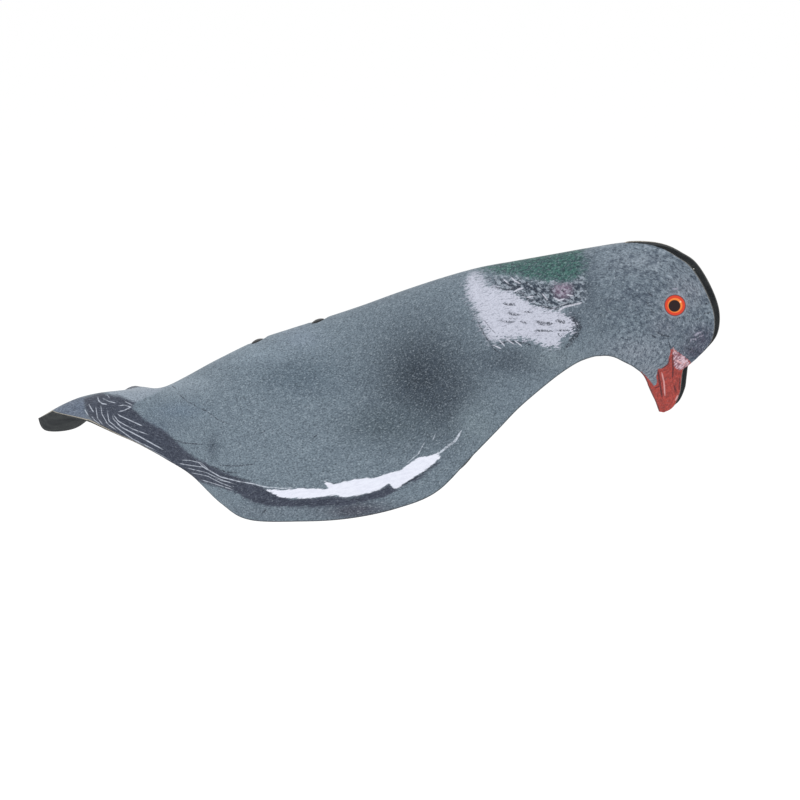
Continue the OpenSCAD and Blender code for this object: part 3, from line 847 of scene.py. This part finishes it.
def printed_fabric():
    """Brushed polyester with the bird printed on it."""
    p = Paint("printed_fabric")
    cloth = p.attribute("cloth")
    left_over = p.split(cloth)[2]
    white, green, scales = p.split(p.attribute("area_a"))[:3]
    dark_wing, tail_band, tail_lens = p.split(p.attribute("area_b"))[:3]
    stripe, bill, cere = p.split(p.attribute("area_c"))[:3]
    forward = p.split(p.attribute("eye"))[2]

    grain = p.noise(cloth, 0.95, 2.0, 0.6)
    fine = p.noise(cloth, 2.4, 1.0, 0.5)
    blotch = p.noise(cloth, 0.14, 3.0, 0.6)
    mottle = p.noise(cloth, 0.32, 3.0, 0.68)
    barbs = p.noise(cloth, 0.5, 3.0, 0.65, stretch=(0.45, 1.7, 1.0))
    ragged = p.noise(cloth, 0.5, 3.0, 0.7)
    plume_way = p.turned(cloth, PLUME_ANGLE)
    plumes = p.noise(plume_way, 0.34, 2.5, 0.6, stretch=(0.5, 1.7, 1.0))

    colour = p.colour_attribute("tone")
    # Feather mottling, strongest on the head
    colour = p.mix(p.ramp(blotch, 0.38, 0.62, 0.0, 0.14), colour, (70, 82, 96))
    on_head = p.ramp(forward, HEAD_FROM, HEAD_FULL, 0.2, 0.72)
    dark_mottle = p.math("MULTIPLY", p.ramp(mottle, 0.36, 0.56, 1.0, 0.0), on_head)
    colour = p.mix(dark_mottle, colour, (62, 73, 88))
    pale_mottle = p.math("MULTIPLY", p.ramp(mottle, 0.56, 0.72), on_head)
    colour = p.mix(pale_mottle, colour, (146, 156, 168))
    # Tail and wing
    colour = p.mix(grown(p, tail_lens, 1.5, ragged, 0.8), colour, (136, 147, 159))
    wing_tone = p.mix(p.ramp(barbs, 0.38, 0.62), (48, 54, 68), (66, 72, 86))
    wing_mask = grown(p, dark_wing, 2.5, barbs, 1.0)
    colour = p.mix(wing_mask, colour, wing_tone)
    band_tone = p.mix(p.ramp(barbs, 0.3, 0.7), (76, 87, 104), (98, 110, 128))
    colour = p.mix(grown(p, tail_band, 1.5, ragged, 0.8), colour, band_tone)
    stripe_tone = p.mix(p.ramp(barbs, 0.35, 0.6), (214, 217, 230), (222, 225, 237))
    stripe_mask = grown(p, stripe, 1.2, barbs, 0.35)
    colour = p.mix(stripe_mask, colour, stripe_tone)
    # Neck
    green_tone = p.mix(p.ramp(ragged, 0.38, 0.62), (38, 62, 68), (60, 104, 96))
    green_share = p.math("MULTIPLY", grown(p, green, 9.0, plumes, 4.0), 0.9)
    colour = p.mix(green_share, colour, green_tone)
    scale_tone = p.mix(p.ramp(plumes, 0.42, 0.62), (50, 60, 74), (142, 152, 163))
    blush = p.vector("SUBTRACT", p.attribute("eye"), (*NECK_BLUSH, 0))
    blush_r = p.vector("LENGTH", p.vector("MULTIPLY", blush, (1, 1, 0)))
    scale_tone = p.mix(p.ramp(blush_r, 2.0, 8.0, 0.45, 0.0), scale_tone, (150, 122, 146))
    colour = p.mix(grown(p, scales, 6.0, plumes, 1.6), colour, scale_tone)
    white_tone = p.mix(p.ramp(barbs, 0.54, 0.68), (188, 191, 205), (148, 152, 166))
    white_soft = p.ramp(forward, WHITE_SOFT_TO, WHITE_SHARP_FROM, 2.8, 0.6)
    white_mask = grown(p, white, 9.0, barbs, white_soft)
    colour = p.mix(white_mask, colour, white_tone)
    ticks = p.noise(plume_way, 0.9, 2.0, 0.6, stretch=(0.7, 1.7, 1.0))
    broken = p.ramp(ticks, 0.4, 0.54)
    colour = draw_lines(p, colour, "dark", (44, 50, 62), 0.85, broken, thin=1.15)
    colour = draw_lines(p, colour, "neck", (200, 202, 214), 0.85)
    wear = p.ramp(mottle, 0.34, 0.56, 0.35, 1.0)
    colour = draw_lines(p, colour, "pale", (196, 203, 215), 0.88, wear, thin=0.8)
    colour = draw_lines(p, colour, "face", (176, 172, 190), 0.6, wear, soft=0.4)
    # Bill
    bill_tone = p.mix(p.ramp(ragged, 0.35, 0.65), (132, 58, 54), (170, 70, 62))
    bill_mask = grown(p, bill, 0.9, ragged, 0.3)
    colour = p.mix(bill_mask, colour, bill_tone)
    cere_tone = p.mix(p.ramp(mottle, 0.42, 0.58), (128, 88, 98), (206, 178, 188))
    colour = p.mix(grown(p, cere, 1.5, ragged, 0.4), colour, cere_tone)
    colour = draw_lines(p, colour, "bill", (66, 36, 42), 0.8, p.ramp(ragged, 0.3, 0.5, 0.4, 1.0))
    colour = draw_lines(p, colour, "sheen", (216, 164, 164), 0.7)
    # Speckle of the brushed pile, weaker where the print is one plain colour
    speckle = p.math("ADD", p.math("MULTIPLY", grain, 0.75), p.math("MULTIPLY", fine, 0.25))
    plain = p.math("MAXIMUM", stripe_mask, p.math("MULTIPLY", bill_mask, 0.75))
    plain = p.math("MAXIMUM", plain, p.math("MULTIPLY", white_mask, 0.5))
    plain = p.math("MAXIMUM", plain, p.math("MULTIPLY", wing_mask, 0.5))
    pile = p.math("MULTIPLY_ADD", plain, -0.8, 0.85)
    dark_pile = p.math("MULTIPLY", p.ramp(speckle, 0.33, 0.53, 0.62, 0.0), pile)
    colour = p.mix(dark_pile, colour, (34, 44, 56), "MULTIPLY")
    pale_pile = p.math("MULTIPLY", p.ramp(speckle, 0.53, 0.7, 0.0, 0.3), pile)
    colour = p.mix(pale_pile, colour, (216, 226, 234))
    colour = print_eye(p, colour)
    # Within a millimetre of the cut edge the print is darkened
    colour = p.mix(p.ramp(left_over, 0.3, 1.0, 0.65, 0.0), colour, (58, 60, 62))

    height = p.math("ADD", grain, p.math("MULTIPLY", fine, 0.5))
    normal = p.bump(height, 0.35, 0.0004)
    return p.set(
        Base_Color=colour, Roughness=0.88, Sheen_Weight=0.12, Sheen_Roughness=0.5,
        Specular_IOR_Level=0.25, Normal=normal,
    )


# From outside in: the radii in mm at which a ring is full and gone, then its colour
EYE_RINGS = [
    (5.75, 6.35, (92, 58, 62)),
    (5.3, 5.8, (208, 64, 40)),
    (3.95, 4.3, (232, 130, 60)),
]
# Places of the pupil and of the spark of light, in mm from the middle of the eye
PUPIL = (-0.3, -0.3, 0)
SPARK = (3.0, 2.0, 0)


def print_eye(p, colour):
    """Orange iris, its yellow inner ring, the pupil and a spark of light."""
    offset = p.vector("MULTIPLY", p.attribute("eye"), (1, 1, 0))
    r = p.vector("LENGTH", offset)
    pale = p.math("MULTIPLY", p.ramp(r, 6.2, 7.8, 1.0, 0.0), 0.3)
    colour = p.mix(pale, colour, (168, 176, 188))
    for full, gone, tone in EYE_RINGS:
        colour = p.mix(p.ramp(r, full, gone, 1.0, 0.0), colour, tone)
    pupil_r = p.vector("LENGTH", p.vector("SUBTRACT", offset, PUPIL))
    colour = p.mix(p.ramp(pupil_r, 3.1, 3.6, 1.0, 0.0), colour, (38, 24, 26))
    spark_r = p.vector("LENGTH", p.vector("SUBTRACT", offset, SPARK))
    return p.mix(p.ramp(spark_r, 0.3, 0.7, 0.8, 0.0), colour, (250, 205, 170))


def fabric_edge():
    """Cut edge of the face fabric, where the white knit backing shows."""
    p = Paint("fabric_edge")
    cloth = p.attribute("cloth")
    fray = p.noise(cloth, 2.5, 3.0, 0.7)
    colour = p.mix(p.ramp(fray, 0.35, 0.65), (120, 114, 104), (172, 168, 158))
    return p.set(Base_Color=colour, Roughness=0.9, Normal=p.bump(fray, 0.5, 0.0003))


def foam():
    """Charcoal closed-cell foam."""
    p = Paint("charcoal_foam")
    cloth = p.attribute("cloth")
    cells = p.node("ShaderNodeTexVoronoi")
    p.put(cells.inputs["Vector"], cloth)
    p.put(cells.inputs["Scale"], 2.2)
    cloud = p.noise(cloth, 0.12, 3.0, 0.6)
    colour = p.mix(p.ramp(cloud, 0.35, 0.65), (42, 45, 48), (58, 61, 62))
    colour = p.mix(p.ramp(cells.outputs["Distance"], 0.0, 0.35, 0.35, 0.0), colour, (26, 28, 30))
    normal = p.bump(cells.outputs["Distance"], 0.4, 0.0003)
    return p.set(Base_Color=colour, Roughness=0.92, Specular_IOR_Level=0.3, Normal=normal)


def moulded_plastic():
    """Black nylon with a fine moulded grain and rubbed high spots."""
    p = Paint("black_plastic")
    where = p.node("ShaderNodeTexCoord").outputs["Object"]
    grain = p.noise(where, 2600.0, 3.0, 0.6)
    rub = p.noise(where, 180.0, 4.0, 0.6)
    colour = p.mix(p.ramp(rub, 0.45, 0.75), (22, 23, 25), (46, 47, 50))
    return p.set(
        Base_Color=colour, Roughness=p.ramp(rub, 0.3, 0.7, 0.38, 0.55),
        Normal=p.bump(grain, 0.25, 0.00005),
    )


def brushed_steel():
    p = Paint("bright_steel")
    where = p.node("ShaderNodeTexCoord").outputs["Object"]
    brush = p.noise(where, 900.0, 3.0, 0.6, stretch=(1.0, 0.06, 1.0))
    colour = p.mix(p.ramp(brush, 0.3, 0.7), (150, 152, 155), (190, 192, 194))
    return p.set(
        Base_Color=colour, Metallic=1.0, Roughness=p.ramp(brush, 0.3, 0.7, 0.25, 0.42),
        Normal=p.bump(brush, 0.15, 0.00004),
    )


def nylon():
    p = Paint("nylon_thread")
    where = p.node("ShaderNodeTexCoord").outputs["Object"]
    twist = p.noise(where, 1500.0, 2.0, 0.5, stretch=(1.0, 0.4, 1.0))
    colour = p.mix(p.ramp(twist, 0.35, 0.65), (206, 204, 190), (236, 235, 226))
    return p.set(Base_Color=colour, Roughness=0.35, Normal=p.bump(twist, 0.3, 0.0001))


# ---------------------------------------------------------------- pieces


def half_piece(side, kind, top, low, materials):
    """One half of a sheet, and the name of the flank it belongs to."""
    name = f"{'right' if side == RIGHT else 'left'}_{kind}"
    skin = sink_seats(SKINS[side], INWARD[side])
    mesh = sheet_mesh(name, skin, INWARD[side], top, low)
    print_attributes(mesh)
    for material in materials:
        mesh.materials.append(material)
    piece = bpy.data.objects.new(name, mesh)
    bpy.context.scene.collection.objects.link(piece)
    flank = "right_flank" if side == RIGHT else "left_flank"
    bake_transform(piece)
    return piece, flank


def make_shell():
    """Face and foam core of both halves, in place of the plain CAD ones."""
    face_materials = (printed_fabric(), fabric_edge())
    core_materials = (foam(),) * 2
    for side in (RIGHT, LEFT):
        face, flank = half_piece(side, "face", 0, FABRIC_T, face_materials)
        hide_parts("printed_face", f"{flank}_face")
        core, flank = half_piece(side, "core", FABRIC_T, foam_depth(SKINS[side]), core_materials)
        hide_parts("foam_shell", f"{flank}_foam")


def dress_hardware():
    """Better materials for the CAD pieces that stay."""
    plastic, steel, thread = moulded_plastic(), brushed_steel(), nylon()
    looks = {
        plastic: ("ridge_rail", "push_rivets", "rivet_caps", "nod_yoke", "stake_socket"),
        steel: ("pivot_pin", "pin_clips", "swivel_washer", "spigot_clip"),
        thread: ("crown_tie", "brow_tie"),
    }
    for material, names in looks.items():
        for name in names:
            mesh = frame["nodes"][name].data
            mesh.materials.clear()
            mesh.materials.append(material)


# ---------------------------------------------------------------- stage

FLOOR_DROP = 0.30  # metres below the CAD box
FLOOR_R = 30.0  # metres
FLOOR_TONE = (0.95, 0.95, 0.95, 1)
SKY_STRENGTH = 1.05
LIGHT_SIZE = 1.4  # metres
# Place in metres, then power in watts
KEY_LIGHT = ((-0.9, -1.6, 2.2), 14)
BACK_LIGHT = ((1.2, 1.8, 1.6), 7)


def make_stage():
    bpy.ops.mesh.primitive_circle_add(vertices=96, radius=FLOOR_R, fill_type="NGON")
    floor = bpy.context.object
    floor.name = "floor"
    floor.location.z = cad_box[0].z - FLOOR_DROP
    p = Paint("floor")
    look = p.set(Base_Color=FLOOR_TONE, Roughness=0.9, Specular_IOR_Level=0.0)
    floor.data.materials.append(look)


def area_light(name, place, power):
    """Round light that faces the object."""
    data = bpy.data.lights.new(name, "AREA")
    data.shape = "DISK"
    data.size = LIGHT_SIZE
    data.energy = power
    light = bpy.data.objects.new(name, data)
    bpy.context.scene.collection.objects.link(light)
    light.location = place
    light.rotation_mode = "QUATERNION"
    light.rotation_quaternion = (-Vector(place)).to_track_quat("-Z", "Y")


def make_light():
    scene = bpy.context.scene
    scene.view_settings.view_transform = "Standard"
    world = bpy.data.worlds.new("studio")
    scene.world = world
    world.use_nodes = True
    background = world.node_tree.nodes["Background"]
    background.inputs["Color"].default_value = (1, 1, 1, 1)
    background.inputs["Strength"].default_value = SKY_STRENGTH
    area_light("key", *KEY_LIGHT)
    area_light("back", *BACK_LIGHT)


make_camera()
make_stage()
make_light()
make_shell()
dress_hardware()
